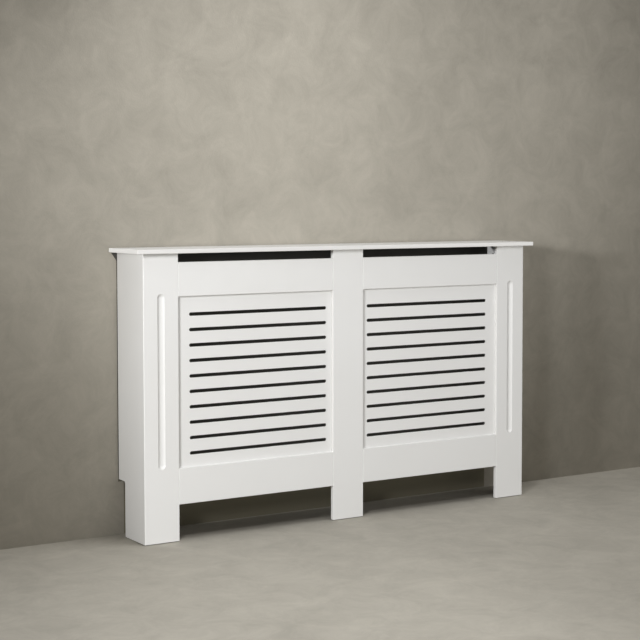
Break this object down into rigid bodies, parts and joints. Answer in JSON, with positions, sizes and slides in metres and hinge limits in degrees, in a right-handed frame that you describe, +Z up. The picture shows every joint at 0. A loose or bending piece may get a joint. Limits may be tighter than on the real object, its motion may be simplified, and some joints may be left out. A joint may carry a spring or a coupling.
{
  "type": "radiator cover cabinet",
  "caption": "Open-backed white cabinet that stands against a wall over a radiator, with bays of horizontal slots between stiles that run down as legs, and a thin overhanging shelf.",
  "frame": {"origin": "on the floor, at the middle of the shelf's width and depth", "axes": "+X along the front to the right as seen from the room, +Y from the room to the wall, +Z up"},
  "size_m": [1.38, 0.19, 0.815],
  "materials": {
    "white_paint": "satin white paint on MDF",
    "beech": "bare beech dowel",
    "pine": "bare planed pine",
    "zinc": "die-cast zinc",
    "steel": "bright zinc-plated steel"
  },
  "bodies": {
    "root": {"top_shelf": "white_paint", "centre_stile": "white_paint", "left_side_panel": "white_paint", "left_stile": "white_paint", "left_top_rail": "white_paint", "left_bottom_rail": "white_paint", "left_slotted_panel": "white_paint", "left_corner_batten": "pine", "left_wall_bracket": "steel", "right_side_panel": "white_paint", "right_stile": "white_paint", "right_top_rail": "white_paint", "right_bottom_rail": "white_paint", "right_slotted_panel": "white_paint", "right_corner_batten": "pine", "right_wall_bracket": "steel", "rail_dowels": "beech", "shelf_dowels": "beech", "rail_cam_bolts": "steel", "rail_cam_locks": "zinc", "shelf_cam_bolts": "steel", "shelf_cam_locks": "zinc", "panel_screws": "steel", "batten_screws": "steel", "bracket_screws": "steel"}
  },
  "joints": []
}
